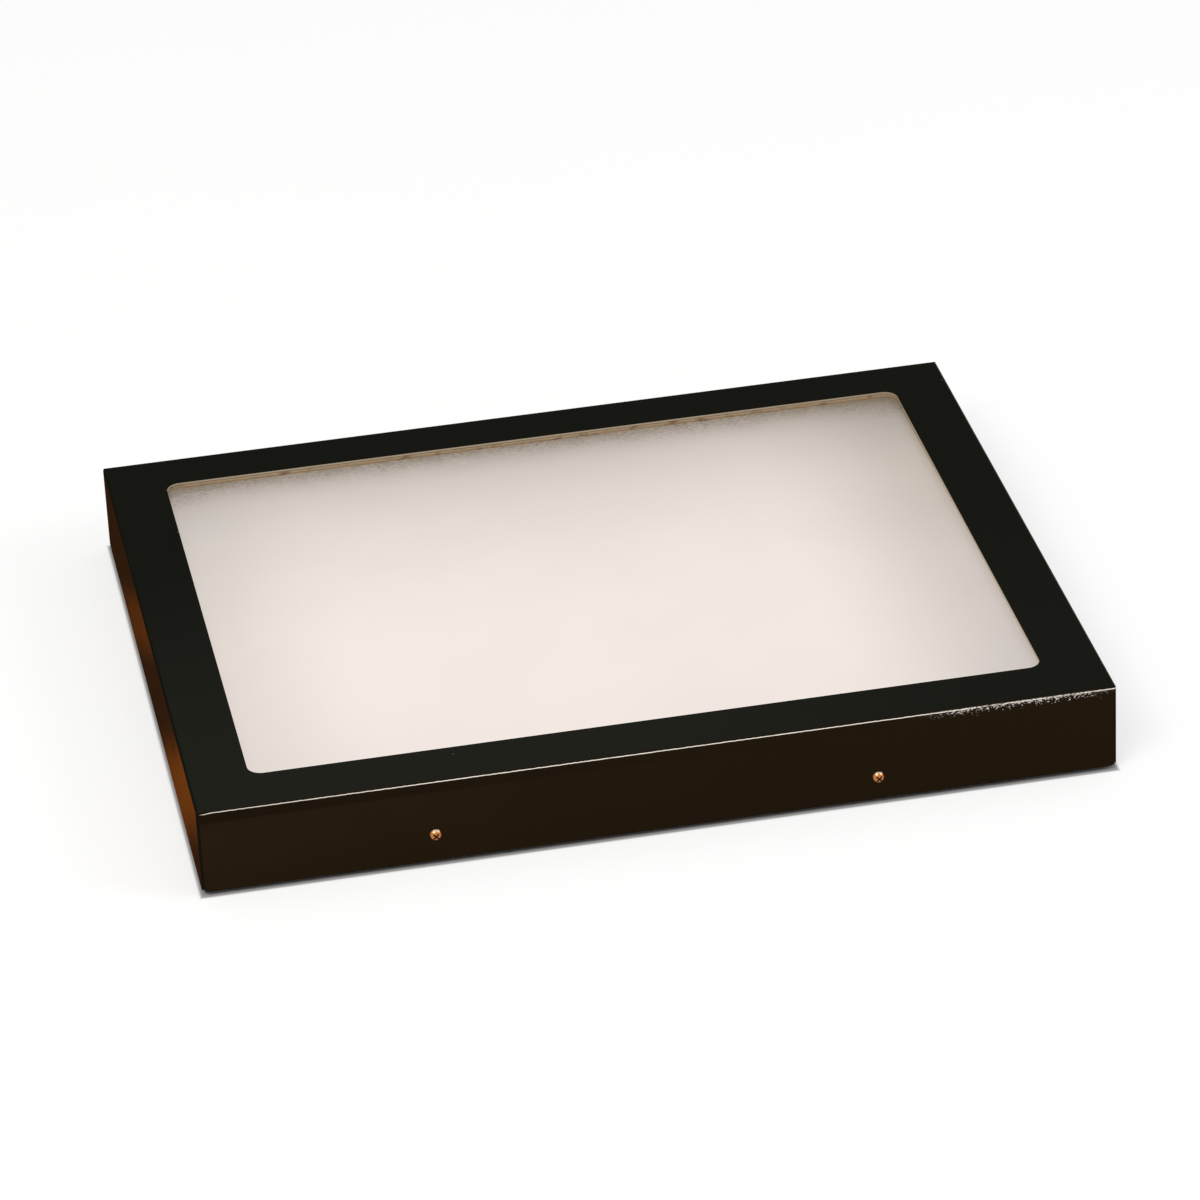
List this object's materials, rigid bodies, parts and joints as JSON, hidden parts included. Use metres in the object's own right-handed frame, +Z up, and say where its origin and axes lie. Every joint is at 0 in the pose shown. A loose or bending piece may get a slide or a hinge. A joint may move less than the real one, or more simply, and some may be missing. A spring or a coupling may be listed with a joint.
{
  "type": "light table",
  "caption": "Low tabletop light table: black folded-steel lid round a recessed opal viewing window, over a screwed-on tray holding fluorescent lamps, with a rear mains inlet and rocker switch.",
  "frame": {"origin": "on the surface the feet stand on, under the middle of the lid", "axes": "+X to the user's right along the long side, +Y away from the user to the rear with the inlet and switch, +Z up out of the viewing window"},
  "size_m": [0.41, 0.3348, 0.043],
  "materials": {
    "black_enamel": "gloss black stoved enamel on folded sheet steel",
    "opal_acrylic": "opal acrylic, satin, lit from below; emission strength 1 from the lamps behind it",
    "fibreboard": "plain tan fibreboard, cut edge",
    "plated_steel": "bright nickel plate",
    "zinc_steel": "zinc-plated sheet, satin",
    "white_paint": "matt white reflector paint",
    "white_plastic": "moulded white thermoset",
    "black_plastic": "moulded black thermoplastic, fine spark finish",
    "black_rubber": "matt black rubber",
    "brass": "bright brass",
    "lamp_glass": "glass tube coated white inside; it glows",
    "lamp_cap": "satin aluminium",
    "board": "green circuit board with moulded components",
    "lead_grey": "grey insulated wire",
    "lead_earth": "green and yellow insulated wire"
  },
  "bodies": {
    "case": {"lid": "black_enamel", "tray": "black_enamel", "gasket": "fibreboard", "diffuser": "opal_acrylic", "clamp_front": "zinc_steel", "clamp_rear": "zinc_steel", "clamp_left": "zinc_steel", "clamp_right": "zinc_steel", "stud_spacers": "zinc_steel", "ballast_case_left": "zinc_steel", "ballast_case_right": "zinc_steel", "lid_studs": "plated_steel", "clamp_nuts": "plated_steel", "tray_studs": "plated_steel", "tray_nuts": "plated_steel", "lid_screws": "plated_steel", "clinch_nuts": "plated_steel", "inlet_pins": "plated_steel", "inlet_screws": "plated_steel", "inlet_nuts": "plated_steel", "earth_lug": "plated_steel", "feet": "black_rubber", "reflector": "white_paint", "reflector_end_front": "white_paint", "reflector_end_rear": "white_paint", "holder_front_1": "white_plastic", "holder_rear_1": "white_plastic", "holder_front_2": "white_plastic", "holder_rear_2": "white_plastic", "holder_front_3": "white_plastic", "holder_rear_3": "white_plastic", "holder_front_4": "white_plastic", "holder_rear_4": "white_plastic", "terminal_block": "white_plastic", "holder_contacts": "brass", "terminal_screws": "brass", "switch_tabs": "brass", "ballast_board_left": "board", "ballast_board_right": "board", "inlet_body": "black_plastic", "switch_body": "black_plastic", "mains_leads": "lead_grey", "lamp_leads_left": "lead_grey", "lamp_leads_right": "lead_grey", "earth_lead": "lead_earth"},
    "rocker": {"switch_rocker": "black_plastic"},
    "lamp_1": {"lamp_tube_1": "lamp_glass", "lamp_caps_1": "lamp_cap", "lamp_collars_1": "white_plastic"},
    "lamp_2": {"lamp_tube_2": "lamp_glass", "lamp_caps_2": "lamp_cap", "lamp_collars_2": "white_plastic"},
    "lamp_3": {"lamp_tube_3": "lamp_glass", "lamp_caps_3": "lamp_cap", "lamp_collars_3": "white_plastic"},
    "lamp_4": {"lamp_tube_4": "lamp_glass", "lamp_caps_4": "lamp_cap", "lamp_collars_4": "white_plastic"}
  },
  "joints": [
    {"name": "rocker_tip", "type": "hinge", "parent": "case", "child": "rocker", "pos_m": [0.112, 0.1611, 0.0185], "axis": [0, 0, -1], "range_deg": [0, 16]},
    {"name": "lamp_turn_1", "type": "hinge", "parent": "case", "child": "lamp_1", "pos_m": [-0.1335, 0, 0.0185], "axis": [0, 1, 0], "range_deg": [0, 90]},
    {"name": "lamp_turn_2", "type": "hinge", "parent": "case", "child": "lamp_2", "pos_m": [-0.0445, 0, 0.0185], "axis": [0, 1, 0], "range_deg": [0, 90]},
    {"name": "lamp_turn_3", "type": "hinge", "parent": "case", "child": "lamp_3", "pos_m": [0.0445, 0, 0.0185], "axis": [0, 1, 0], "range_deg": [0, 90]},
    {"name": "lamp_turn_4", "type": "hinge", "parent": "case", "child": "lamp_4", "pos_m": [0.1335, 0, 0.0185], "axis": [0, 1, 0], "range_deg": [0, 90]}
  ]
}
